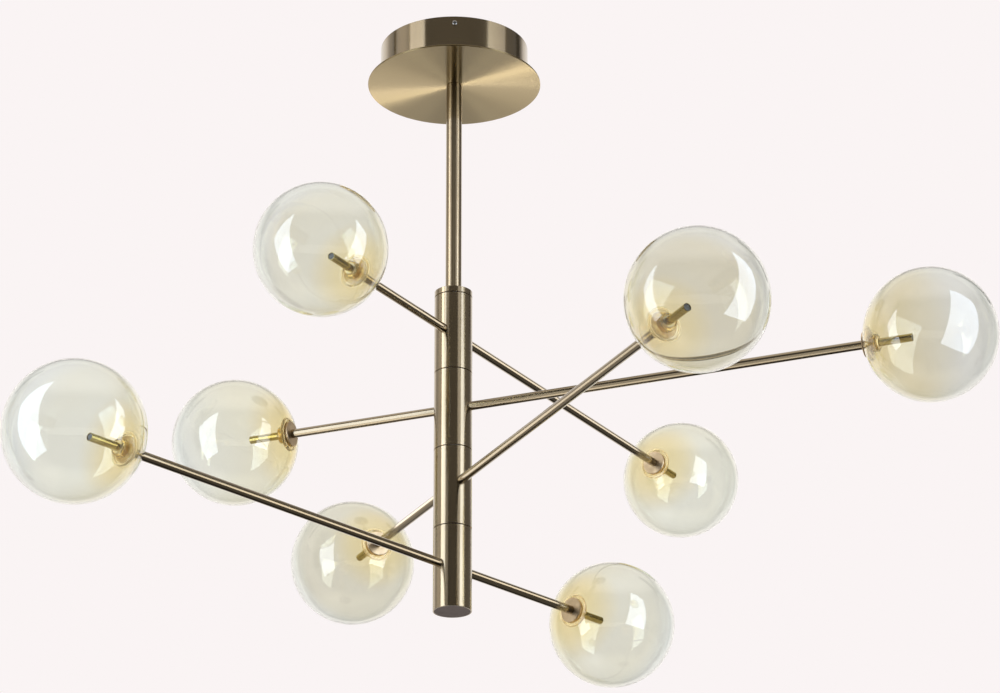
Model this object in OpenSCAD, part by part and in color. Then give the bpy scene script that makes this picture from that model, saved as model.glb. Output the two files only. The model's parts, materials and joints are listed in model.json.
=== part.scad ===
// Ceiling chandelier: a stem carries a column of four hubs that turn one under the other.
// Each hub holds a short and a long arm, and each arm ends in a glass globe with an LED stick.
// Origin: middle of the ceiling bracket, in the plane of the ceiling. Z points up.

/* [Canopy] */
// Diameter of the canopy drum
drum_d = 178; // [160:1:196]
// Height of the drum below the ceiling
drum_h = 45; // [41:1:60]
// Sheet thickness of the drum
drum_wall = 1.2; // [0.8:0.1:2]
// Radius of the drum's lower edge
drum_corner = 2; // [1.5:0.5:4]
// Diameter of the brushed disc under the drum
disc_d = 208; // [200:2:260]
// Thickness of the disc
disc_t = 2; // [1.5:0.5:4]
// Width of the steel strap on the ceiling
strap_w = 25; // [20:1:30]
// Thickness of the strap
strap_t = 2; // [1.5:0.5:3]
// Distance between the strap's two ceiling slots
slot_spacing = 80; // [70:5:90]
// Length of each ceiling slot
slot_l = 24; // [16:2:26]
// Width of each ceiling slot
slot_w = 5; // [4:0.5:6]
// Depth of the canopy's side screws below the ceiling
screw_drop = 9; // [8:1:12]

/* [Stem and column] */
// Outside diameter of the stem
stem_d = 19; // [18:0.5:24]
// Bore of the stem
stem_bore = 16; // [14:0.5:17]
// Distance from the ceiling to the bottom of the column cap
column_drop = 327; // [250:1:600]
// Outside diameter of the column
column_d = 44.5; // [44:0.5:60]
// Wall thickness of a hub
hub_wall = 1.5; // [1.5:0.5:2.5]
// Height of one hub and the gap over it
hub_pitch = 96; // [90:1:130]
// Depth of the arms below the seam over their hub
arm_drop = 46; // [44:1:50]
// How much higher the arms of the second and third hubs sit
mid_lift = 2.2; // [0:0.2:3]
// Blank end below the lowest hub
end_h = 3; // [0:1:12]
// Visible gap between two hubs
seam_gap = 0.8; // [0.5:0.1:1.5]
// Height of the column cap
cap_h = 7; // [6:0.5:12]

/* [Arms] */
// Diameter of an arm
arm_d = 10.5; // [9:0.5:12]
// Bore of an arm
arm_bore = 5.6; // [5:0.2:6]
// From the column's axis to the centre of a short arm's globe
short_reach = 282; // [240:2:340]
// From the column's axis to the centre of a long arm's globe
long_reach = 572; // [480:4:700]
// Direction of the long arm of the first hub
turn_1 = 58.4; // [-180:0.1:180]
// Direction of the long arm of the second hub
turn_2 = -23.5; // [-180:0.1:180]
// Direction of the long arm of the third hub
turn_3 = -64.7; // [-180:0.1:180]
// Direction of the long arm of the fourth hub
turn_4 = -132.8; // [-180:0.1:180]
// Rise of the first hub's arms towards the long one, in degrees
rise_1 = 0.2; // [-2:0.1:2]
// Rise of the third hub's arms towards the long one, in degrees
rise_3 = 1; // [-2:0.1:2]

/* [Globes] */
// Outside diameter of a globe
globe_d = 150; // [130:5:170]
// Glass thickness
glass_t = 1.8; // [1.5:0.1:2.5]
// Diameter of the recess in the globe that takes the collar
seat_d = 34; // [32:1:38]
// Depth of that recess, down to the ground seat
seat_sink = 3.5; // [1:0.5:5]
// Length of the neck that turns inwards
neck_l = 9; // [8:1:12]
// Diameter of the collar
collar_d = 30; // [28:1:31]
// Thickness of the collar's disc
collar_t = 5; // [2:0.5:6]
// Length of the collar's threaded boss
boss_l = 11.5; // [11:0.5:16]
// Diameter of the LED tube
led_d = 9; // [8:0.2:10]
// From the globe's centre back to the tip of the LED tube
led_short_of_centre = 21; // [10:1:30]

/* [Hidden] */
$fn = 96;
eps = 0.01;
play = 0.05;                         // radial clearance of a shaft in its bore
HUBS = 4;
turns = [turn_1, turn_2, turn_3, turn_4];
rises = [rise_1, 0, rise_3, 0];
lifts = [0, mid_lift, mid_lift, 0];
reaches = [long_reach, short_reach];

drum_floor = -drum_h + drum_wall;
disc_z = -drum_h - disc_t;           // underside of the disc, where the stem starts
driver_x = 43;
terminal_x = -29;
cap_top_z = -column_drop + cap_h;
nipple_r = 6;
nipple_bore_r = 4;
nut_h = 8;
nut_flats = 18;
washer_t = 1.5;
stem_plug_l = 16;

hub_bevel = 0.3;
hub_r = column_d / 2;
hub_in_r = hub_r - hub_wall;
lid_t = 8;
floor_t = 5;
recess_r = hub_r - 1.4;
recess_t = 1.2;                      // the friction washer lies in this recess
friction_r = 18.5;
friction_t = recess_t + seam_gap - 0.1;
socket_r = 8;                        // tapped boss inside the hub that takes an arm
socket_in = 12;
spigot_r = 4;
spigot_l = 7;

globe_r = globe_d / 2;
seat_r = seat_d / 2;
seat_back = sqrt(globe_r * globe_r - seat_r * seat_r) - seat_sink;   // globe centre to its seat
gasket_t = 1.2;
collar_in = seat_back + gasket_t;    // globe centre to the collar's inner face
collar_out = collar_in + collar_t;
boss_root = 7.6;
boss_crest = 8.5;
thread_pitch = 3;
thread_rings = 3;
thread_start = 1.2;                  // from the collar's face to the first ridge
thread_play = 0.25;
neck_r = boss_root + 0.4;
neck_wall = 2.2;
led_r = led_d / 2;
led_seat = 6;                        // length of the LED tube inside the boss
led_wall = 0.7;
lens_r = led_r - led_wall - play;
lens_t = 2.5;
lens_back = 0.5;                     // the lens sits this far behind the tube's rim
board_t = 1.6;
board_gap = 2.4;                     // from the lens to the LED board

brass = "#b0935c";
dark_brass = "#a58750";
steel = "#c4c6c8";
zinc = "#b9bcbd";
amber_glass = [0.92, 0.88, 0.66, 0.45];

per_hub = ["hub", "hub_lid", "arm_long", "arm_short", "collars", "gaskets", "globes",
    "led_tubes", "led_modules"];

// Height of the seam over hub n, counted from 1 at the top
function seam_z(n) = -column_drop - (n - 1) * hub_pitch;
function hub_top(n) = seam_z(n) - seam_gap;
function arm_z(n) = seam_z(n) - arm_drop + lifts[n - 1];
function hub_bottom(n) = seam_z(n + 1) - (n == HUBS ? end_h : 0);

// Points on an arc
function arc(x, y, r, from, to, steps = 8) =
    [for (i = [0 : steps]) let (a = from + (to - from) * i / steps)
        [x + r * cos(a), y + r * sin(a)]];

// Outline of ring-shaped thread ridges from one root radius to a crest radius, closed at r = 0
function ridges(root, crest, start, extra) =
    concat([[0, start - thread_pitch / 2], [root, start - thread_pitch / 2]],
        [for (i = [0 : thread_rings - 1]) let (z = start + i * thread_pitch)
            each [[root, z - extra], [crest, z + 0.7 - extra], [crest, z + 1.1 + extra],
                  [root, z + 1.8 + extra]]],
        [[root, start + thread_rings * thread_pitch], [0, start + thread_rings * thread_pitch]]);

module pipe(r, bore, h) {
    difference() {
        cylinder(r = r, h = h);
        translate([0, 0, -1]) cylinder(r = bore, h = h + 2);
    }
}

// A cylinder on z = 0 with both outer edges bevelled
module turned(r, h, bevel) {
    rotate_extrude() polygon([[0, 0], [r - bevel, 0], [r, bevel], [r, h - bevel],
        [r - bevel, h], [0, h]]);
}

// Lies along X from x0 to x1
module rod(r, x0, x1) {
    translate([x0, 0, 0]) rotate([0, 90, 0]) cylinder(r = r, h = x1 - x0);
}

module hex_nut(bore, h) {
    difference() {
        cylinder(r = nut_flats / 2 / cos(30), h = h, $fn = 6);
        translate([0, 0, -1]) cylinder(r = bore, h = h + 2);
    }
}

// A rounded block that stands on z = 0
module rounded_block(x, y, h, r) {
    linear_extrude(h) {
        square([x - 2 * r, y], center = true);
        square([x, y - 2 * r], center = true);
        for (sx = [-1, 1], sy = [-1, 1]) translate([sx * (x / 2 - r), sy * (y / 2 - r)]) circle(r);
    }
}

// Places children at hub n with +X along its long arm
module on_hub(n) {
    translate([0, 0, arm_z(n)]) rotate([0, -rises[n - 1], turns[n - 1]]) children();
}

// Places children at both lamps of hub n: the globe's centre at 0, the column towards -X
module at_lamps(n) {
    on_hub(n) for (side = [0, 1]) rotate([0, 0, 180 * side]) translate([reaches[side], 0, 0])
        children();
}

// ---- canopy ----

module ceiling_bracket() {
    ear_y = sqrt(pow(drum_d / 2 - drum_wall, 2) - 8 * 8) - 0.3;
    bend = 3;
    ear_l = screw_drop + 7;
    color(zinc) difference() {
        union() {
            translate([-strap_w / 2, -ear_y + bend, -strap_t])
                cube([strap_w, 2 * (ear_y - bend), strap_t]);
            for (side = [0, 1]) rotate([0, 0, 180 * side]) {
                translate([-8, ear_y - strap_t, -ear_l]) cube([16, strap_t, ear_l - bend]);
                translate([-8, ear_y - bend, -bend]) rotate([0, 90, 0]) intersection() {
                    pipe(bend, bend - strap_t, 16);
                    translate([-bend, 0, 0]) cube([bend, bend, 16]);
                }
            }
        }
        // slots for the ceiling screws, a hole for the supply and tapped holes in the ears
        for (side = [-1, 1]) translate([0, side * slot_spacing / 2, -strap_t - 1])
            linear_extrude(strap_t + 2) {
                square([slot_w, slot_l - slot_w], center = true);
                for (end = [-1, 1]) translate([0, end * (slot_l - slot_w) / 2]) circle(slot_w / 2);
            }
        translate([0, 0, -strap_t - 1]) cylinder(r = 7, h = strap_t + 2);
        translate([0, 0, -screw_drop]) rotate([90, 0, 0])
            cylinder(r = 1.7, h = 2 * ear_y + 2, center = true);
    }
}

module canopy_drum() {
    out = drum_d / 2;
    color(brass) difference() {
        rotate_extrude() polygon(concat(
            [[0, -drum_h]],
            arc(out - drum_corner, -drum_h + drum_corner, drum_corner, -90, 0),
            [[out, 0], [out - drum_wall, 0]],
            arc(out - drum_corner, -drum_h + drum_corner, drum_corner - drum_wall, 0, -90),
            [[0, drum_floor]]));
        translate([0, 0, -drum_h - 1]) cylinder(r = nipple_r + play, h = 4);
        translate([0, 0, -screw_drop]) rotate([90, 0, 0])
            cylinder(r = 2.3, h = drum_d + 2, center = true);
    }
}

module canopy_disc() {
    color(brass) translate([0, 0, disc_z]) difference() {
        turned(disc_d / 2, disc_t, 0.4);
        translate([0, 0, -1]) cylinder(r = nipple_r + play, h = disc_t + 2);
    }
}

// Pan-head screws that hold the drum to the bracket's ears
module canopy_screws() {
    head_r = 2.9;
    head_h = 2;
    color(steel) for (side = [0, 1])
        rotate([0, 0, 180 * side]) translate([0, -drum_d / 2, -screw_drop]) rotate([90, 0, 0])
            difference() {
                union() {
                    rotate_extrude() polygon(concat([[0, 0], [head_r, 0]],
                        arc(head_r - 1.2, head_h - 1.2, 1.2, 0, 90), [[0, head_h]]));
                    translate([0, 0, -6]) cylinder(r = 1.65, h = 6 + eps);
                }
                for (a = [0, 90]) rotate([0, 0, a]) translate([-1.6, -0.4, head_h - 1])
                    cube([3.2, 0.8, 2]);
            }
}

// Potted driver on the drum's floor, with fixing lugs and wire ports at both ends
module led_driver() {
    body = [36, 92, 24];
    lugs = [16, 104, 2.5];
    port = [16, 6, 9];
    lug_hole_y = (body.y + lugs.y) / 4;
    color("white") translate([driver_x, 0, drum_floor]) difference() {
        union() {
            rounded_block(body.x, body.y, body.z, 3);
            rounded_block(lugs.x, lugs.y, lugs.z, 3);
        }
        for (side = [-1, 1]) {
            translate([0, side * lug_hole_y, -1]) cylinder(r = 1.6, h = lugs.z + 2);
            translate([0, side * body.y / 2, body.z / 2]) cube(port, center = true);
        }
    }
}

// Three poles, each with a wire hole right through and two screw wells
module terminal_block() {
    body = [18, 32, 14];
    pole_pitch = 10;
    color("gainsboro") translate([terminal_x, 0, drum_floor]) difference() {
        rounded_block(body.x, body.y, body.z, 1);
        for (pole = [-1, 0, 1]) translate([0, pole * pole_pitch, 0]) {
            translate([0, 0, 5]) rotate([0, 90, 0])
                cylinder(r = 1.8, h = body.x + 2, center = true);
            for (side = [-1, 1]) translate([side * 5, 0, body.z / 2])
                cylinder(r = 1.9, h = body.z);
        }
    }
}

module canopy_nipple() {
    color(steel) translate([0, 0, disc_z - stem_plug_l + 2])
        pipe(nipple_r, nipple_bore_r, stem_plug_l + disc_t + washer_t + nut_h + 1);
}

module canopy_nut() {
    color(steel) translate([0, 0, drum_floor]) {
        pipe(13, nipple_r + play, washer_t);
        translate([0, 0, washer_t]) hex_nut(nipple_r + play, nut_h);
    }
}

// ---- stem and column ----

// A tube with a tapped plug in each end
module stem_tube() {
    length = disc_z - cap_top_z;
    color(brass) translate([0, 0, cap_top_z]) difference() {
        turned(stem_d / 2, length, 0.5);
        translate([0, 0, stem_plug_l]) cylinder(r = stem_bore / 2, h = length - 2 * stem_plug_l);
        translate([0, 0, -1]) cylinder(r = nipple_r + play, h = length + 2);
    }
}

// Recess in the lower face of the cap and of every hub
module friction_recess(z) {
    translate([0, 0, z - 1]) cylinder(r = recess_r, h = recess_t + 1);
}

module column_cap() {
    color(brass) difference() {
        translate([0, 0, -column_drop]) turned(hub_r, cap_h, hub_bevel);
        translate([0, 0, -column_drop - 1]) cylinder(r = nipple_r + play, h = cap_h + 2);
        friction_recess(-column_drop);
    }
}

// A turned cup, open at the top, with two tapped sockets inside for the arms
module hub(n) {
    bottom = hub_bottom(n);
    color(brass) difference() {
        union() {
            difference() {
                translate([0, 0, bottom]) turned(hub_r, hub_top(n) - bottom, hub_bevel);
                translate([0, 0, bottom + floor_t]) cylinder(r = hub_in_r, h = hub_pitch);
            }
            intersection() {
                on_hub(n) for (side = [0, 1]) rotate([0, 0, 180 * side])
                    rod(socket_r, socket_in, hub_r);
                translate([0, 0, bottom]) cylinder(r = hub_r - hub_wall / 2, h = hub_pitch);
            }
        }
        on_hub(n) for (side = [0, 1]) rotate([0, 0, 180 * side]) {
            rod(spigot_r + play, socket_in - 1, hub_r);
            rod(arm_d / 2 + play, hub_in_r - 0.5, hub_r + 2);
        }
        translate([0, 0, bottom - 1]) cylinder(r = nipple_r + play, h = floor_t + 2);
        friction_recess(bottom);
    }
}

// Threaded plug in the hub's mouth, bored to turn on the nipple above, with spanner holes
module hub_lid(n) {
    color(dark_brass) translate([0, 0, hub_top(n) - lid_t]) difference() {
        cylinder(r = hub_in_r - play, h = lid_t);
        translate([0, 0, -1]) cylinder(r = nipple_r + play, h = lid_t + 2);
        for (side = [-1, 1]) translate([side * 14, 0, -1]) cylinder(r = 1.5, h = lid_t + 2);
    }
}

// Hollow nipple through seam n: the hub under the seam turns on it
module swivel_nipple(n) {
    top = n == 1 ? cap_top_z + stem_plug_l - 2 : seam_z(n) + floor_t + washer_t + nut_h + 2;
    bottom = hub_top(n) - lid_t - washer_t - nut_h - 2;
    color(steel) translate([0, 0, bottom]) pipe(nipple_r, nipple_bore_r, top - bottom);
}

// Washer and lock nut under the lid and, below the first seam, over the floor of the hub above
module swivel_nuts(n) {
    color(steel) {
        translate([0, 0, hub_top(n) - lid_t - 0.1 - washer_t]) {
            pipe(11, nipple_r + play, washer_t);
            translate([0, 0, -nut_h]) hex_nut(nipple_r + play, nut_h);
        }
        if (n > 1) translate([0, 0, seam_z(n) + floor_t]) {
            pipe(11, nipple_r + play, washer_t);
            translate([0, 0, washer_t]) hex_nut(nipple_r + play, nut_h);
        }
    }
}

module friction_washer(n) {
    color("ivory") translate([0, 0, seam_z(n) + recess_t - friction_t])
        pipe(friction_r, nipple_r + play, friction_t);
}

module bottom_cap() {
    color("dimgray") translate([0, 0, hub_bottom(HUBS)]) {
        cylinder(r = recess_r - play, h = recess_t);
        cylinder(r = nipple_r - play, h = floor_t + 1);
    }
}

// ---- arms and lamps ----

module arm(n, side) {
    start = hub_in_r - 0.4;
    end = reaches[side] - collar_out;
    color(brass) on_hub(n) rotate([0, 0, 180 * side]) difference() {
        union() {
            rod(arm_d / 2, start, end);
            rod(spigot_r, socket_in + 1, end + spigot_l - 1);
        }
        rod(arm_bore / 2, 0, end + spigot_l);
    }
}

module arm_long(n) { arm(n, 0); }

module arm_short(n) { arm(n, 1); }

// Disc outside the globe and a threaded boss inside its neck, turned in one piece
module collars(n) {
    boss_end = collar_t + boss_l;
    color(dark_brass) at_lamps(n) translate([-collar_out, 0, 0]) rotate([0, 90, 0]) difference() {
        union() {
            turned(collar_d / 2, collar_t, 0.6);
            rotate_extrude() polygon([[0, collar_t - eps], [boss_root, collar_t - eps],
                [boss_root, boss_end - 1], [boss_root - 1, boss_end], [0, boss_end]]);
            translate([0, 0, collar_t]) rotate_extrude()
                polygon(ridges(boss_root - 0.5, boss_crest, thread_start, 0));
        }
        translate([0, 0, -1]) cylinder(r = spigot_r + play, h = spigot_l + 1);
        translate([0, 0, -1]) cylinder(r = 2, h = boss_end + 2);
        translate([0, 0, boss_end - led_seat]) cylinder(r = led_r + play, h = led_seat + 1);
    }
}

module gaskets(n) {
    color("whitesmoke") at_lamps(n) translate([-collar_in, 0, 0]) rotate([0, 90, 0])
        pipe(collar_d / 2 - 1, boss_crest + 0.5, gasket_t);
}

// Blown globe: a ground seat in a round recess, and a neck turned inwards with thread grooves
module globes(n) {
    color(amber_glass) at_lamps(n) difference() {
        union() {
            difference() {
                sphere(r = globe_r);
                sphere(r = globe_r - glass_t);
            }
            intersection() {
                sphere(r = globe_r - glass_t / 2);
                rod(seat_r + glass_t, -globe_r, -seat_back + glass_t);
            }
            rod(neck_r + neck_wall, -seat_back, -seat_back + neck_l);
            translate([-seat_back + neck_l, 0, 0]) rotate([0, 90, 0]) rotate_extrude()
                translate([neck_r + neck_wall / 2, 0]) circle(neck_wall / 2, $fn = 32);
        }
        rod(seat_r, -globe_r - 1, -seat_back);
        rod(neck_r, -globe_r, -seat_back + neck_l + 2);
        translate([-collar_in, 0, 0]) rotate([0, 90, 0]) rotate_extrude()
            polygon(ridges(neck_r - 0.5, boss_crest + thread_play, thread_start, thread_play));
    }
}

module led_tubes(n) {
    start = -collar_in + boss_l - led_seat + play;
    color(brass) at_lamps(n) difference() {
        rod(led_r, start, -led_short_of_centre);
        rod(led_r - led_wall, start - 1, -led_short_of_centre + 1);
    }
}

// A lens behind the rim of the tube and the LED board behind the lens
module led_modules(n) {
    edge = 0.6;
    lens_x = -led_short_of_centre - lens_back - lens_t;
    board_x = lens_x - board_gap;
    color("lightgray") at_lamps(n) {
        translate([lens_x, 0, 0]) rotate([0, 90, 0])
            rotate_extrude() polygon(concat([[0, 0], [lens_r, 0]],
                arc(lens_r - edge, lens_t - edge, edge, 0, 90), [[0, lens_t]]));
        rod(lens_r, board_x - board_t, board_x);
    }
}

// ---- nodes ----

ceiling_bracket();
canopy_drum();
canopy_disc();
canopy_screws();
led_driver();
terminal_block();
canopy_nipple();
canopy_nut();
stem_tube();
column_cap();
bottom_cap();
for (n = [1 : HUBS]) {
    swivel_nipple(n);
    swivel_nuts(n);
    friction_washer(n);
    hub(n);
    hub_lid(n);
    arm_long(n);
    arm_short(n);
    collars(n);
    gaskets(n);
    globes(n);
    led_tubes(n);
    led_modules(n);
}
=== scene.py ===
import json
import math

import bmesh
import bpy
from mathutils import Euler, Matrix, Vector


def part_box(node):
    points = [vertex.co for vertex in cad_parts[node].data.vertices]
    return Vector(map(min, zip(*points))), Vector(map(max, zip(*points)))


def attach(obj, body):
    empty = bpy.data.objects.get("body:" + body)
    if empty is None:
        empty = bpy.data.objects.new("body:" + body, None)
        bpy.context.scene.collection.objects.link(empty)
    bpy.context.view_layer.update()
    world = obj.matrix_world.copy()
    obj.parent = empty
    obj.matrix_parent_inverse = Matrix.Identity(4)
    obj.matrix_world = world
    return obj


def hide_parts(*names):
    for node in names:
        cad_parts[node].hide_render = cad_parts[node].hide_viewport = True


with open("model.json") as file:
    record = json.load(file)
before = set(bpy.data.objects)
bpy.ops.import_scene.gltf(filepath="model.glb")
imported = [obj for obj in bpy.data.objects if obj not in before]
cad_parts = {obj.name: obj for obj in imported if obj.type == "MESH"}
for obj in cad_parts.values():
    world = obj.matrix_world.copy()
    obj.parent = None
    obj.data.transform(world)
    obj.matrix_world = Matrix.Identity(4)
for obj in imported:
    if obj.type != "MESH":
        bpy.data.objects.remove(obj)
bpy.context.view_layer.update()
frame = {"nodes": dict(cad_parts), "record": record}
scene = bpy.context.scene
tiers = range(1, 5)
print("frame loaded")

camera = {
    "place": (-0.0153, -3.6458, -1.9219),
    "lens": 121.8,
    "sensor": 36,
    "sight": (0.05, 60),    # the nearest and the furthest that it sees
    "pitch": 22.813,        # degrees above the horizon
    "turn": 1.099,          # towards +X
    "tilt": -0.123,
}


def makeCamera():
    data = bpy.data.cameras.new("camera")
    data.lens = camera["lens"]
    data.sensor_width = camera["sensor"]
    data.clip_start, data.clip_end = camera["sight"]
    eye = bpy.data.objects.new("camera", data)
    scene.collection.objects.link(eye)
    aim = Euler((math.radians(90 + camera["pitch"]), 0, math.radians(-camera["turn"]))).to_matrix()
    aim = aim @ Matrix.Rotation(math.radians(camera["tilt"]), 3, "Z")
    eye.location = camera["place"]
    eye.rotation_euler = aim.to_euler()
    scene.camera = eye


makeCamera()


class Flow:
    # one shader value: wraps an output socket, so that sums are written as Python
    def __init__(self, tree, socket=None):
        self.tree = tree
        self.socket = socket

    # adds any node: its settings come first, then the values or links of its sockets
    def node(self, kind, settings=None, sockets=None, output=0):
        made = self.tree.nodes.new(kind)
        for name, value in (settings or {}).items():
            setattr(made, name, value)
        for name, value in (sockets or {}).items():
            if isinstance(value, Flow):
                self.tree.links.new(value.socket, made.inputs[name])
            else:
                made.inputs[name].default_value = value
        return Flow(self.tree, made.outputs[output] if made.outputs else None)

    # one Math node
    def sum(self, operation, *values):
        return self.node("ShaderNodeMath", {"operation": operation}, dict(enumerate(values)))

    def __add__(self, other):
        return self.sum("ADD", self, other)

    def __sub__(self, other):
        return self.sum("SUBTRACT", self, other)

    def __rsub__(self, other):
        return self.sum("SUBTRACT", other, self)

    def __mul__(self, other):
        return self.sum("MULTIPLY", self, other)

    def __pow__(self, other):
        return self.sum("POWER", self, other)

    __radd__ = __add__
    __rmul__ = __mul__

    # 0 below low, 1 above high, smooth between
    def rise(self, low, high):
        settings = {"interpolation_type": "SMOOTHSTEP"}
        return self.node("ShaderNodeMapRange", settings, {"Value": self, "From Min": low, "From Max": high})

    # the X, Y or Z of a vector
    def part(self, name):
        return self.node("ShaderNodeSeparateXYZ", {}, {"Vector": self}, name)

    # a colour between first, at 0, and second, at 1
    def blend(self, factor, first, second):
        sockets = {"Factor": factor, 6: first, 7: second}
        return self.node("ShaderNodeMix", {"data_type": "RGBA"}, sockets, 2)


def solid(colour):
    return (*colour, 1)


def newMaterial(name):
    material = bpy.data.materials.new(name)
    material.use_nodes = True
    material.node_tree.nodes.clear()
    return material, Flow(material.node_tree)


def objectPlace(flow):
    return flow.node("ShaderNodeTexCoord", output="Object")


def emission(flow, colour, strength):
    return flow.node("ShaderNodeEmission", {}, {"Color": solid(colour), "Strength": strength})


def mixShaders(factor, first, second):
    return first.node("ShaderNodeMixShader", {}, {0: factor, 1: first, 2: second})


# 1 for what the camera sees itself or straight through glass, 0 for reflections and for light
def directView(flow):
    path = flow.node("ShaderNodeLightPath").socket.node
    names = ("Is Camera Ray", "Is Transmission Ray", "Glossy Depth", "Diffuse Depth")
    seen, through, glossy, diffuse = [Flow(flow.tree, path.outputs[name]) for name in names]
    bounced = flow.sum("MINIMUM", glossy + diffuse, 1)
    return flow.sum("MAXIMUM", seen, through * (1 - bounced))


studio = {
    "white": (0.956, 0.905, 0.905),     # what the camera sees behind the object
    "tint": (1.0, 0.955, 0.91),         # of all the light in the room
    "dark": 0.035,                      # the unlit room below and behind the camera
    "upper": 0.05,                      # added above the horizon
    "back": 0.9,
    "left": 0.62,
    "leftLoss": 0.25,                   # how much darker the left wall gets towards the back
    "top": 0.75,
    "right": 0.1,
    # the X, Y or Z of a direction between which each part of the room fades in or out
    "fades": {
        "skirting": (-0.5, -0.25),
        "horizon": (-0.1, 0.3),
        "ceiling": (0.55, 0.85),
        "back": (0.3, 0.7),
        "backEnd": (0.58, 0.76),
        "left": (0.1, 0.4),
        "leftFront": (-0.35, -0.1),
        "leftBack": (0.1, 0.35),
        "right": (0.35, 0.6),
        "rightFront": (-0.45, -0.15),
    },
}


def makeWorld():
    world = bpy.data.worlds.new("studio")
    scene.world = world
    world.use_nodes = True
    tree = world.node_tree
    tree.nodes.clear()
    flow = Flow(tree)
    aim = flow.node("ShaderNodeTexCoord", output="Generated")
    x, y, z = aim.part("X"), aim.part("Y"), aim.part("Z")
    fades = studio["fades"]
    band = z.rise(*fades["skirting"]) - z.rise(*fades["ceiling"])
    # the back wall ends at the right for metal, but not in the rims of the globes
    throughGlass = flow.node("ShaderNodeLightPath", output="Is Transmission Ray")
    backCut = 1 - x.rise(*fades["backEnd"]) * (1 - throughGlass)
    backLight = y.rise(*fades["back"]) * backCut * band * studio["back"]
    leftLevel = studio["left"] - y.rise(*fades["leftBack"]) * studio["leftLoss"]
    leftLight = (0 - x).rise(*fades["left"]) * y.rise(*fades["leftFront"]) * leftLevel
    topLight = z.rise(*fades["ceiling"]) * studio["top"]
    rightLight = x.rise(*fades["right"]) * y.rise(*fades["rightFront"]) * studio["right"]
    backOrLeft = flow.sum("MAXIMUM", backLight, leftLight)
    topOrRight = flow.sum("MAXIMUM", topLight, rightLight)
    walls = flow.sum("MAXIMUM", backOrLeft, topOrRight)
    level = walls + z.rise(*fades["horizon"]) * studio["upper"] + studio["dark"]
    room = flow.node("ShaderNodeBackground", {}, {"Color": solid(studio["tint"]), "Strength": level})
    white = flow.node("ShaderNodeBackground", {}, {"Color": solid(studio["white"]), "Strength": 1})
    flow.node("ShaderNodeOutputWorld", {}, {"Surface": mixShaders(directView(flow), room, white)})


makeWorld()

softboxes = {
    # corners from the upper inner one round to the lower inner one
    "left": [(-0.806, -0.835, 0.32), (-1.361, -0.465, -0.17), (-1.421, -0.425, -1.5), (-0.841, -0.811, -1.2)],
    "right": [(0.912, -0.725, 0.385), (1.304, -0.458, 0.08), (1.338, -0.435, -1.06), (0.642, -0.910, -0.99)],
    "colour": (0.84, 0.93, 1.08),
    "strength": 3.0,
}


def panelMaterial(name, strength):
    material, flow = newMaterial(name)
    glow = emission(flow, softboxes["colour"], strength)
    clear = flow.node("ShaderNodeBsdfTransparent")
    flow.node("ShaderNodeOutputMaterial", {}, {"Surface": mixShaders(directView(flow), glow, clear)})
    return material


def makePanel(name, corners, strength):
    bpy.ops.object.select_all(action="DESELECT")
    bpy.ops.mesh.primitive_circle_add(vertices=4, fill_type="NGON")
    panel = bpy.context.active_object
    panel.name = name
    for vertex, corner in zip(panel.data.vertices, corners):
        vertex.co = corner
    panel.data.materials.append(panelMaterial(name, strength))
    return panel


makePanel("leftSoftbox", softboxes["left"], softboxes["strength"])
makePanel("rightSoftbox", softboxes["right"], softboxes["strength"])

columnNodes = ["stem_tube", "column_cap"] + ["hub_%d" % tier for tier in tiers]

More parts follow.
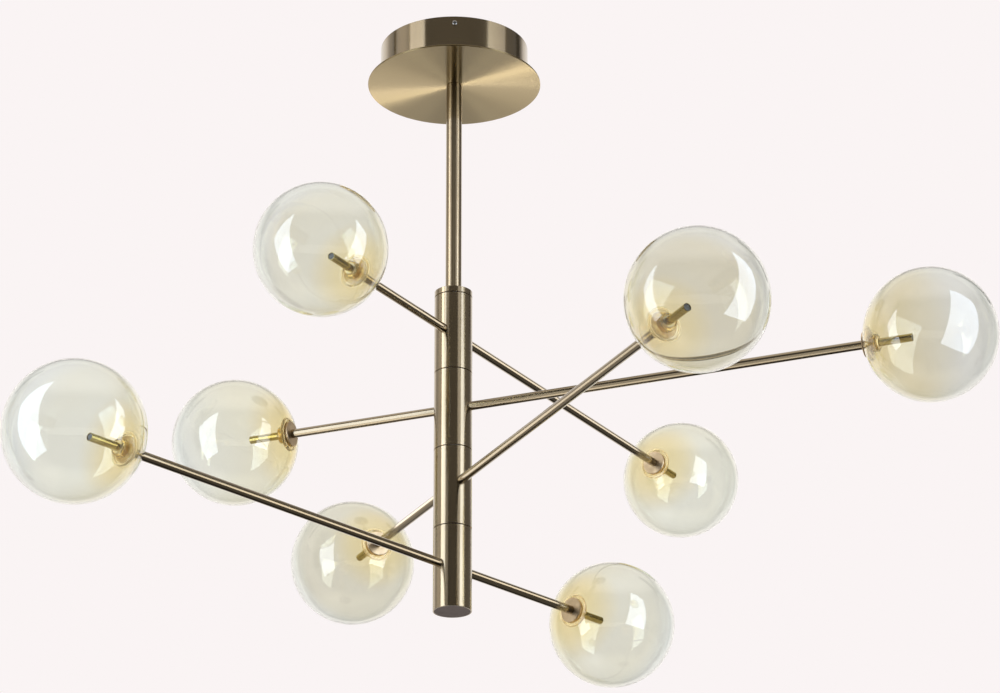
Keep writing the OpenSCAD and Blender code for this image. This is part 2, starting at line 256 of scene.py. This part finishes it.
# lamps that light only some nodes: each is a panel that faces the canopy's middle at the ceiling
lamps = {
    "brushing": {"aim": (0.41, 0.74, -0.54), "distance": 3.0, "size": (1.3, 0.9), "level": 7.0,
                 "nodes": ["canopy_disc"]},
    "discFill": {"aim": (0, 0.92, -0.6), "distance": 3.0, "size": (4, 1.6), "level": 0.8,
                 "nodes": ["canopy_disc"]},
    "leftCard": {"aim": (-0.835, -0.512, 0.26), "distance": 1.43, "size": (0.6, 0.9), "level": 1.35,
                 "nodes": ["canopy_drum"] + columnNodes},
    "rightCard": {"aim": (0.849, -0.352, 0.394), "distance": 1.52, "size": (0.8, 0.6), "level": 0.75,
                  "nodes": ["canopy_drum", "stem_tube"]},
    "columnLeft": {"aim": (-0.849, -0.36, 0.22), "distance": 3.0, "size": (0.6, 1.2), "level": 3.2,
                   "nodes": columnNodes},
    "columnInnerLeft": {"aim": (-0.542, -0.746, 0.22), "distance": 3.0, "size": (0.8, 1.2), "level": 0.5,
                        "nodes": columnNodes},
    "columnInnerRight": {"aim": (0.542, -0.746, 0.22), "distance": 3.0, "size": (0.8, 1.2), "level": 0.9,
                         "nodes": columnNodes},
    "stemRight": {"aim": (0.822, -0.419, 0.22), "distance": 3.0, "size": (0.4, 1.2), "level": 3.6,
                  "nodes": ["stem_tube"]},
    "stemFront": {"aim": (0, -0.922, 0.22), "distance": 3.0, "size": (1.2, 1.2), "level": 0.2,
                  "nodes": ["stem_tube"]},
    "armsRight": {"aim": (0.98, 0.2, 0.04), "distance": 3.0, "size": (2.2, 1.4), "level": 2.1,
                  "nodes": ["arm_long_1", "arm_short_1", "arm_short_4"]},
    "armsRightLow": {"aim": (0.94, 0, -0.34), "distance": 3.0, "size": (2.2, 1.4), "level": 2.0,
                     "nodes": ["arm_long_4"]},
    "armsLeft": {"aim": (-0.81, 0.56, 0.15), "distance": 3.0, "size": (1.6, 1.8), "level": 2.0,
                 "nodes": ["arm_short_3"]},
    "armsLeftLow": {"aim": (-0.78, 0.53, -0.33), "distance": 3.0, "size": (1.6, 1.5), "level": 1.4,
                    "nodes": ["arm_long_3"]},
    "collarLamp": {"aim": (-0.85, -0.3, 0.35), "distance": 3.0, "size": (1.5, 1.2), "level": 1.0,
                   "nodes": ["collars_%d" % tier for tier in tiers]},
    "gasketLamp": {"aim": (-0.1, -0.9, 0.2), "distance": 2.4, "size": (2, 2), "level": 4.8, "through": True,
                   "nodes": ["gaskets_%d" % tier for tier in tiers]},
    "armsFront": {"aim": (-0.45, -0.3, -0.84), "distance": 3.0, "size": (1.6, 1.4), "level": 1.7,
                  "nodes": ["arm_short_2"]},
    "armsFrontWide": {"aim": (-0.56, -0.5, -0.66), "distance": 3.0, "size": (2.4, 4.2), "level": 0.7,
                      "nodes": ["arm_long_2"]},
    "armsFrontLow": {"aim": (-0.4, -0.17, -0.9), "distance": 3.0, "size": (1.6, 1.6), "level": 0.6,
                     "nodes": ["arm_long_2"]},
}


def makeLamp(name, row):
    data = bpy.data.lights.new(name, "AREA")
    data.shape = "RECTANGLE"
    data.size, data.size_y = row["size"]
    data.energy = row["level"] * math.pi * row["size"][0] * row["size"][1]
    lamp = bpy.data.objects.new(name, data)
    scene.collection.objects.link(lamp)
    aim = Vector(row["aim"])
    lamp.location = aim * row["distance"]
    lamp.rotation_euler = aim.to_track_quat("Z", "Y").to_euler()
    lamp.visible_camera = False
    lit = bpy.data.collections.new("lit by " + name)
    for node in row["nodes"]:
        lit.objects.link(frame["nodes"][node])
    lamp.light_linking.receiver_collection = lit
    if row.get("through"):
        # nothing but the canopy's disc casts shadows in this light, so that it passes the globes
        shading = bpy.data.collections.new("shadows of " + name)
        shading.objects.link(frame["nodes"]["canopy_disc"])
        lamp.light_linking.blocker_collection = shading
        lamp.visible_glossy = lamp.visible_transmission = False


for name, row in lamps.items():
    makeLamp(name, row)

# black cards that draw thin dark lines on the drum
flags = {
    "left": [(-1.360, 0.264, 1.3), (-1.325, 0.405, 1.3), (-1.325, 0.405, 0.2), (-1.360, 0.264, 0.2)],
    "right": [(1.293, 0.496, 1.3), (1.187, 0.713, 1.3), (1.187, 0.713, 0.2), (1.293, 0.496, 0.2)],
}
for side, corners in flags.items():
    # no strength, and the globes don't show them
    makePanel(side + "Flag", corners, 0).visible_transmission = False

floor = {
    "level": -2.7,
    "size": 16,
    "colour": (0.9, 0.87, 0.86),
    "glow": 0.75,               # how much of the backdrop's white shows on it
    "fade": (1.5, 7.0),         # it melts into the backdrop between these distances
}


def makeFloor():
    bpy.ops.object.select_all(action="DESELECT")
    bpy.ops.mesh.primitive_plane_add(size=floor["size"], location=(0, 0, floor["level"]))
    ground = bpy.context.active_object
    ground.name = "floor"
    material, flow = newMaterial("paleFloor")
    matt = flow.node("ShaderNodeBsdfDiffuse", {}, {"Color": solid(floor["colour"])})
    glow = emission(flow, studio["white"], 1)
    distance = flow.node("ShaderNodeVectorMath", {"operation": "LENGTH"}, {0: objectPlace(flow)}, "Value")
    share = distance.rise(*floor["fade"]) * (1 - floor["glow"]) + floor["glow"]
    top = mixShaders(directView(flow) * share, matt, glow)
    below = flow.node("ShaderNodeNewGeometry", output="Backfacing")
    clear = flow.node("ShaderNodeBsdfTransparent")
    flow.node("ShaderNodeOutputMaterial", {}, {"Surface": mixShaders(below, top, clear)})
    ground.data.materials.append(material)
    ground.visible_glossy = False


makeFloor()
scene.view_settings.view_transform = "Standard"
print("stage made")


def finishMaterial(flow, sockets):
    shader = flow.node("ShaderNodeBsdfPrincipled", {}, sockets)
    flow.node("ShaderNodeOutputMaterial", {}, {"Surface": shader})


def noise(flow, place, scale, detail):
    return flow.node("ShaderNodeTexNoise", {}, {"Vector": place, "Scale": scale, "Detail": detail})


# fine lines that lie across one direction
def hairLines(flow, along, scale, detail):
    sockets = {"W": along, "Scale": scale, "Detail": detail}
    return flow.node("ShaderNodeTexNoise", {"noise_dimensions": "1D"}, sockets)


def bump(flow, strength, depth, height):
    return flow.node("ShaderNodeBump", {}, {"Strength": strength, "Distance": depth, "Height": height})


def axisDistance(place):
    x, y = place.part("X"), place.part("Y")
    return (x * x + y * y) ** 0.5


def attribute(flow, name):
    return flow.node("ShaderNodeAttribute", {"attribute_name": name}, {}, "Fac")


def darkened(colour, share):
    return tuple(share * part for part in colour)


# a level that swings with patterns whose mean is a half, by as much as each is paired with
def swing(level, *pairs):
    first, *others = [pattern * amount for pattern, amount in pairs]
    return sum(others, first) + (level - sum(amount for pattern, amount in pairs) / 2)


brass = {
    "colour": (0.42, 0.325, 0.19),
    "aged": (0.37, 0.283, 0.16),
    # roughness, how far the brushing stretches highlights, and how light each is beside the column, where the
    # arms' darker brass is painted shade
    "column": (0.25, 0.9, 1),
    "stem": (0.3, 0.6, 1),
    "arms": (0.16, 0.0, 0.85),
    "canopy": (0.2, 1.0, 1),
    "clouds": 9,            # how small the aged patches are
    "aging": (0.35, 0.75),  # and how sharply they end
    "hairs": 2400.0,        # how fine the turned lines are
    "uneven": (0.02, 0.03),     # how much lines and patches change the roughness
    "lacquer": {"Coat Weight": 0.9, "Coat IOR": 1.7, "Coat Roughness": 0.06},
}


# satin brass: the columns are turned, so their lines run round Z, and the arms are plain drawn tube
def satinBrass(name, roughness, anisotropy, paintedShadeTone):
    material, flow = newMaterial(name)
    # paintedShadeTone scales the colour down, painted shade that darkens the arms' brass
    fresh, aged = [darkened(brass[age], paintedShadeTone) for age in ("colour", "aged")]
    place = objectPlace(flow)
    cloud = noise(flow, place, brass["clouds"], 3)
    hair = hairLines(flow, place.part("Z"), brass["hairs"], 2.0)
    finishMaterial(flow, {
        "Base Color": flow.blend(cloud.rise(*brass["aging"]), solid(fresh), solid(aged)), "Metallic": 1.0,
        "Roughness": swing(roughness, *zip((hair, cloud), brass["uneven"])),
        "Anisotropic": anisotropy, "Anisotropic Rotation": 0.25, **brass["lacquer"]})
    return material


plainFinish = {
    "shade": 0.86,          # how dark the grain is beside the colour
    "uneven": 0.1,
    "relief": 0.3,
}


# a finish of one colour with a fine grain
def plain(name, colour, metallic, roughness, grain, depth):
    material, flow = newMaterial(name)
    cloud = noise(flow, objectPlace(flow), grain, 3)
    finishMaterial(flow, {
        "Base Color": flow.blend(cloud, solid(colour), solid(darkened(colour, plainFinish["shade"]))),
        "Metallic": metallic, "Roughness": swing(roughness, (cloud, plainFinish["uneven"])),
        "Normal": bump(flow, plainFinish["relief"], depth, cloud)})
    return material


disc = {
    "colour": (0.45, 0.34, 0.17),
    "grooveShade": 0.8,     # how dark the grooves are beside the colour
    "roughness": 0.3,
    "uneven": 0.1,
    "anisotropy": 1.0,
    "grooves": 2600,
    "depth": 0.00003,
    "relief": 0.2,
    "lacquer": {"Coat Weight": 0.25, "Coat IOR": 1.6, "Coat Roughness": 0.04},
}


# spun brass: its lines are rings round the stem
def spunBrass():
    material, flow = newMaterial("spunBrass")
    groove = hairLines(flow, axisDistance(objectPlace(flow)), disc["grooves"], 3.0)
    darker = darkened(disc["colour"], disc["grooveShade"])
    finishMaterial(flow, {
        "Base Color": flow.blend(groove, solid(disc["colour"]), solid(darker)), "Metallic": 1.0,
        "Roughness": swing(disc["roughness"], (groove, disc["uneven"])),
        "Anisotropic": disc["anisotropy"], "Anisotropic Rotation": 0.25,
        "Normal": bump(flow, disc["relief"], disc["depth"], groove), **disc["lacquer"]})
    return material


glass = {
    # each globe's tint lies between these two, and the deeper tints are painted shade
    "clear": {"near": (0.947, 0.951, 0.852), "far": (0.94, 0.98, 0.967)},     # the palest globe
    "deep": {"near": (0.878, 0.848, 0.70), "far": (0.882, 0.903, 0.88)},      # the darkest globe
    "amber": (0.97, 0.85, 0.50),        # round the neck of each
    "amberEnd": (0.0, 0.17),            # it fades between these depths
    "nearEnd": (0.36, 0.68),            # and the near tint between these
    # the fade towards the outline is a painted reflection of the white room at the rims
    "rimReflectionFade": (0.3, 0.75),         # the deep tint fades towards the globe's outline between these
    # hub by hub: from pale to deep, and how fast the depth rises, where below 1 the amber goes further; both
    # are painted shade that stands in for how each globe is lit
    "paintedShadeTones": {"long": (0.0, 1.0, 1.0, 0.0), "short": (0.35, 0.0, 0.7, 0.25)},
    "reach": {"long": (0.82, 1.0, 1.0, 1.0), "short": (1.0, 0.74, 1.0, 0.9)},
    "clouds": 14,                       # how small the patches of tint and gilding are
    "patchy": 0.15,                     # how much they move the amber's end
    "index": 1.4,
    "lustre": {"Coat Weight": 0.55, "Coat IOR": 1.62, "Coat Roughness": 0.0},
    "waves": 22,                        # how small the waves of blown glass are
    "ripple": 0.0002,
    "brassReflectionColour": (1.0, 0.80, 0.42),          # a painted reflection of the brass, as frosted gold on the recess
    "goldRoughness": 0.35,
    "reflectionShare": 0.3,                     # how much of it the recess ring carries
    "reflectionPatches": 0.3,
}


def amberGlass():
    material, flow = newMaterial("amberGlass")
    place, depth, paintedShadeTone = objectPlace(flow), attribute(flow, "depth"), attribute(flow, "paintedShadeTone")
    cloud = noise(flow, place, glass["clouds"], 2)
    facing = flow.node("ShaderNodeLayerWeight", {}, {"Blend": 0.5}, "Facing")
    # the deep tint fades to pale at the outline, a painted reflection of the white room at the rims
    deeper = paintedShadeTone * (1 - facing.rise(*glass["rimReflectionFade"]))
    near, far = [flow.blend(deeper, solid(glass["clear"][end]), solid(glass["deep"][end]))
                 for end in ("near", "far")]
    colour = flow.blend(depth.rise(*glass["nearEnd"]), near, far)
    amberEnd = depth.rise(*glass["amberEnd"]) + (cloud - 0.5) * glass["patchy"]
    colour = flow.blend(amberEnd, solid(glass["amber"]), colour)
    relief = bump(flow, 1.0, glass["ripple"], noise(flow, place, glass["waves"], 1))
    clear = flow.node("ShaderNodeBsdfPrincipled", {}, {
        "Base Color": colour, "Roughness": 0.0, "IOR": glass["index"], "Transmission Weight": 1.0,
        "Normal": relief, **glass["lustre"]})
    # a frosted gold surface in the recess: painted reflection of the brass collar in the thick glass
    paintedReflection = flow.node("ShaderNodeBsdfPrincipled", {}, {
        "Base Color": solid(glass["brassReflectionColour"]), "Metallic": 0.0, "Roughness": glass["goldRoughness"],
        "Normal": relief})
    neck = attribute(flow, "reflectionMask") * swing(glass["reflectionShare"], (cloud, glass["reflectionPatches"]))
    flow.node("ShaderNodeOutputMaterial", {}, {"Surface": mixShaders(neck, clear, paintedReflection)})
    return material


# a collar is matt on its outer disc and smoother on the boss inside the globe, whose lighter colour is
# painted light
collar = {
    "matt": [(0.86, 0.66, 0.42), (0.66, 0.49, 0.29)],
    "bossPaintedLight": [(0.95, 0.76, 0.42), (0.88, 0.68, 0.35)],
    # distances from the column's axis where the bosses of the short and long arms begin
    "shortBoss": (0.2113, 0.2116),
    "shortEnd": (0.24, 0.26),       # past the short arm's boss
    "longBoss": (0.5012, 0.5015),
    "lines": 3000.0,
    "clouds": 60,
    "tarnish": (0.35, 0.65),        # how sharply the patches end
    "depth": 0.00002,
    "relief": 0.3,
    "roughness": 0.3,
    "uneven": (0.06, 0.08),         # how much lines and patches add to it
    "polish": 0.08,                 # how much smoother the boss is
}


def turnedBrass():
    material, flow = newMaterial("turnedBrass")
    place = objectPlace(flow)
    reach = axisDistance(place)
    shortBoss = reach.rise(*collar["shortBoss"]) * (1 - reach.rise(*collar["shortEnd"]))
    inside = shortBoss + reach.rise(*collar["longBoss"])
    lines = hairLines(flow, reach, collar["lines"], 2.0)
    cloud = noise(flow, place, collar["clouds"], 3)
    matt = flow.blend(cloud.rise(*collar["tarnish"]), *map(solid, collar["matt"]))
    # the boss's lighter colour is painted light
    bossPaintedLight = flow.blend(cloud, *map(solid, collar["bossPaintedLight"]))
    lineShare, cloudShare = collar["uneven"]
    roughness = lines * lineShare + cloud * cloudShare + (collar["roughness"] - inside * collar["polish"])
    finishMaterial(flow, {
        "Base Color": flow.blend(inside, matt, bossPaintedLight), "Metallic": 1.0, "Roughness": roughness,
        "Normal": bump(flow, collar["relief"], collar["depth"], lines)})
    return material


silicone = {
    # amber silicone whose lighter patches are painted glints
    "amberAndGlints": [(0.95, 0.78, 0.38), (0.66, 0.44, 0.15)],
    "clouds": 160,
    "patches": (0.4, 0.6),  # how sharply the two colours part
    "roughness": 0.3,
    "index": 1.4,
    "clear": 0.3,           # how much of the light goes through
}


def clearSilicone():
    material, flow = newMaterial("clearSilicone")
    cloud = noise(flow, objectPlace(flow), silicone["clouds"], 2)
    finishMaterial(flow, {
        # the lighter patches are painted glints on the amber
        "Base Color": flow.blend(cloud.rise(*silicone["patches"]), *map(solid, silicone["amberAndGlints"])),
        "Roughness": silicone["roughness"], "IOR": silicone["index"],
        "Transmission Weight": silicone["clear"]})
    return material


# the plain ones give colour, metallic, roughness, how fine the grain is and how deep
finishes = {
    "satin_brass": satinBrass("satinBrass", *brass["column"]),
    "stem_brass": satinBrass("stemBrass", *brass["stem"]),
    "arm_brass": satinBrass("armBrass", *brass["arms"]),
    "canopy_brass": satinBrass("canopyBrass", *brass["canopy"]),
    "spun_brass": spunBrass(),
    "turned_brass": turnedBrass(),
    "polished_brass": plain("polishedBrass", (0.56, 0.45, 0.19), 1.0, 0.15, 60, 0.00001),
    "bright_screw": plain("brightScrew", (0.75, 0.75, 0.75), 1.0, 0.12, 90, 0.00001),
    "zinc_plate": plain("zincPlate", (0.60, 0.61, 0.63), 1.0, 0.35, 70, 0.00002),
    "plain_steel": plain("plainSteel", (0.58, 0.57, 0.56), 1.0, 0.3, 90, 0.00002),
    "amber_glass": amberGlass(),
    "silicone": clearSilicone(),
    "nylon": plain("nylon", (0.80, 0.78, 0.70), 0.0, 0.45, 100, 0.00002),
    "driver_case": plain("driverCase", (0.78, 0.78, 0.76), 0.0, 0.5, 120, 0.00003),
    "terminal_body": plain("terminalBody", (0.74, 0.74, 0.70), 0.0, 0.42, 120, 0.00002),
    "led_optic": plain("ledOptic", (0.25, 0.25, 0.26), 0.0, 0.15, 150, 0.00001),
    "end_cap": plain("endCap", (0.17, 0.135, 0.12), 0.0, 0.6, 120, 0.00003),
}


# the stem and the arms have their own brass, and every other node the finish of its slot
def dressNodes():
    for row in frame["record"]["subparts"]:
        node = frame["nodes"][row["node"]]
        kind = row["node"].split("_")[0]
        slot = {"arm": "arm_brass", "stem": "stem_brass"}.get(kind, row["material_slot"])
        node.data.materials.clear()
        node.data.materials.append(finishes[slot])


dressNodes()
print("materials made")


globe = {
    "radius": 0.075,
    "wall": 0.0018,
    "rim": 0.0186,          # where the glass starts to turn into the recess
    "rimDrop": 0.0001,      # the corner into the recess lies this much lower
    "rimInside": 0.002,     # how much wider the lining's opening is
    "liningRise": 0.0003,   # and the lining's corner lies this much higher
    "recess": 0.017,        # radius of the recess
    "seat": 0.06955,        # from the centre to the ground seat
    "neck": 0.0081,         # inside radius of the neck
    "neckWall": 0.0021,
    "lip": 0.06055,         # from the centre to the end of the neck
    "lipSteps": 8,
    # how far the corners of the profile are rounded, from the outer skin to the lining
    "rounding": {"rim": 0.0007, "seat": 0.0004, "bore": 0.0002, "neckRoot": 0.0008, "base": 0.0012,
                 "lining": 0.0006},
    # grooves in the neck's bore, with the heights of their four edges from the start of each
    "thread": {"grooves": 3, "start": 0.0005, "pitch": 0.003, "radius": 0.00875,
               "edges": (0, 0.0004, 0.001, 0.0014)},
    "segments": 128,
    "rings": 64,
    "smooth": 40,           # edges that turn more than this many degrees stay sharp
    "mouth": 0.0196,        # the neck and the recess lie inside this radius
    "fullReflectionFrom": 0.0164,     # outside this radius the recess carries the painted reflection in full
    "neckReflectionShare": 0.15,       # and inside it this much
}


# the direction of a hub's long arm, which may rise a little
def armAim(tier):
    middles = [sum(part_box("arm_%s_%d" % (side, tier)), Vector()) / 2 for side in ("long", "short")]
    return (middles[0] - middles[1]).normalized()


# the centre of each globe of a hub, and the direction in which its arm points
def lampCentres(tier):
    aim = armAim(tier)
    column = sum(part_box("hub_%d" % tier), Vector()) / 2
    arm = sum(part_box("arm_long_%d" % tier), Vector()) / 2
    root = arm - aim * ((arm - column).x / aim.x)
    low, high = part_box("globes_%d" % tier)
    centres = {}
    for side, outward in (("long", aim), ("short", -aim)):
        # the globes' box ends one radius past each centre
        edge = high.x - globe["radius"] if outward.x > 0 else low.x + globe["radius"]
        centres[side] = (root + outward * (edge - root.x) / outward.x, outward)
    return centres


def selectOpenEdges(piece):
    mesh = bmesh.from_edit_mesh(piece.data)
    for edge in mesh.edges:
        edge.select_set(False)
    for edge in mesh.edges:
        if edge.is_boundary:
            edge.select_set(True)
    mesh.select_flush_mode()
    bmesh.update_edit_mesh(piece.data)


def cutShell(radius, back):
    # a sphere round the origin, cut open at its lower pole
    bpy.ops.object.select_all(action="DESELECT")
    bpy.ops.mesh.primitive_uv_sphere_add(segments=globe["segments"], ring_count=globe["rings"], radius=radius)
    shell = bpy.context.active_object
    bpy.ops.object.mode_set(mode="EDIT")
    bpy.ops.mesh.select_all(action="SELECT")
    bpy.ops.mesh.bisect(plane_co=(0, 0, -back), plane_no=(0, 0, 1), clear_inner=True)
    bpy.ops.object.mode_set(mode="OBJECT")
    return shell


def traceRing(radius, height, steps):
    # draws the selected ring along steps of radius and height
    for newRadius, newHeight in steps:
        bpy.ops.mesh.extrude_edges_move(TRANSFORM_OT_translate={"value": (0, 0, newHeight - height)})
        scale = newRadius / radius
        bpy.ops.transform.resize(value=(scale, scale, 1), center_override=(0, 0, newHeight))
        radius, height = newRadius, newHeight


# rounds each corner of a profile that has a rounding as its third number
def softened(corners, steps=4):
    points = []
    for index, corner in enumerate(corners):
        middle = Vector(corner[:2])
        if len(corner) == 2:
            points.append(tuple(middle))
            continue
        before, after = [Vector(corners[index + side][:2]) - middle for side in (-1, 1)]
        start, end = middle + before.normalized() * corner[2], middle + after.normalized() * corner[2]
        for step in range(steps + 1):
            t = step / steps
            points.append(tuple(start * (1 - t) ** 2 + middle * 2 * t * (1 - t) + end * t * t))
    return points


# from the outer skin through the recess and the neck to the lining, as radius and height
def globeProfile():
    rim, recess, wall, neck = globe["rim"], globe["recess"], globe["wall"], globe["neck"]
    seat, lip, rounding, thread = -globe["seat"], -globe["lip"], globe["rounding"], globe["thread"]
    base, neckOut = seat + wall, neck + globe["neckWall"]
    start = (rim, -math.sqrt(globe["radius"] ** 2 - rim ** 2))
    inner, opening = globe["radius"] - wall, rim + globe["rimInside"]
    end = (opening, -math.sqrt(inner ** 2 - opening ** 2))
    corners = [start, (recess, start[1] - globe["rimDrop"], rounding["rim"]),
               (recess, seat, rounding["seat"]), (neck, seat, rounding["bore"])]
    radii = (neck, thread["radius"], thread["radius"], neck)
    for groove in range(thread["grooves"]):
        root = seat + thread["start"] + thread["pitch"] * groove
        corners += [(radius, root + edge) for radius, edge in zip(radii, thread["edges"])]
    half = globe["neckWall"] / 2
    corners.append((neck, lip))
    for step in range(1, globe["lipSteps"]):
        turn = math.pi * step / globe["lipSteps"]
        corners.append((neck + half - half * math.cos(turn), lip + half * math.sin(turn)))
    lining = recess + wall
    corners += [(neckOut, lip), (neckOut, base, rounding["neckRoot"]), (lining, base, rounding["base"]),
                (lining, end[1] + globe["liningRise"], rounding["lining"]), end]
    return start, softened(corners)[1:-1], end


def makeGlobe():
    outer, wall = globe["radius"], globe["wall"]
    start, steps, end = globeProfile()
    skin = cutShell(outer, -start[1])
    bpy.ops.object.mode_set(mode="EDIT")
    bpy.ops.mesh.select_mode(type="EDGE")
    selectOpenEdges(skin)
    traceRing(*start, steps)
    bpy.ops.object.mode_set(mode="OBJECT")
    lining = cutShell(outer - wall, -end[1])
    bpy.ops.object.mode_set(mode="EDIT")
    bpy.ops.mesh.select_all(action="SELECT")
    bpy.ops.mesh.flip_normals()
    bpy.ops.object.mode_set(mode="OBJECT")
    skin.select_set(True)
    lining.select_set(True)
    bpy.context.view_layer.objects.active = skin
    bpy.ops.object.join()
    bpy.ops.object.mode_set(mode="EDIT")
    bpy.ops.mesh.select_mode(type="EDGE")
    selectOpenEdges(skin)
    bpy.ops.mesh.bridge_edge_loops()
    bpy.ops.mesh.select_all(action="SELECT")
    bpy.ops.mesh.remove_doubles(threshold=0.000001)
    bpy.ops.object.mode_set(mode="OBJECT")
    bpy.ops.object.shade_smooth_by_angle(angle=math.radians(globe["smooth"]))
    addTints(skin)
    return skin


# depth is 0 in the neck and 1 at the far end, and reflectionMask says how much painted brass reflection the
# glass carries
def addTints(skin):
    outer, names = globe["radius"], ("depth", "reflectionMask")
    for name in names:
        skin.data.attributes.new(name, "FLOAT", "POINT")
    depth, reflectionMask = [skin.data.attributes[name].data for name in names]
    for index, vertex in enumerate(skin.data.vertices):
        height, reach = vertex.co.z, vertex.co.xy.length
        inMouth = height < 0 and reach < globe["mouth"]
        depth[index].value = 0 if inMouth else min(1, max(0, (height + outer) / (2 * outer)))
        if inMouth:
            reflectionMask[index].value = 1 if reach > globe["fullReflectionFrom"] else globe["neckReflectionShare"]


def placeCopies(model, name, slot, node):
    for tier in tiers:
        for side, (centre, aim) in lampCentres(tier).items():
            copy = model.copy()
            copy.data = model.data.copy()
            copy.name = "%s_%d_%s" % (name, tier, side)
            scene.collection.objects.link(copy)
            bpy.ops.object.select_all(action="DESELECT")
            copy.select_set(True)
            bpy.context.view_layer.objects.active = copy
            # the model's +Z points away from the column along the arm
            copy.rotation_euler = aim.to_track_quat("Z", "Y").to_euler()
            copy.location = centre
            bpy.ops.object.transform_apply(location=True, rotation=True, scale=True)
            # each copy gets its own painted shade: a deeper tint, and amber that reaches further
            paintedShadeTone = copy.data.attributes.new("paintedShadeTone", "FLOAT", "POINT")
            for entry in paintedShadeTone.data:
                entry.value = glass["paintedShadeTones"][side][tier - 1]
            for entry in copy.data.attributes["depth"].data:
                entry.value *= glass["reach"][side][tier - 1]
            copy.data.materials.clear()
            copy.data.materials.append(finishes[slot])
            bpy.data.collections["lit by gasketLamp"].objects.link(copy)
            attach(copy, "segment_%d" % tier)
            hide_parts("%s_%d" % (node, tier))
    bpy.data.objects.remove(model)


placeCopies(makeGlobe(), "globe", "amber_glass", "globes")
print("globes made")
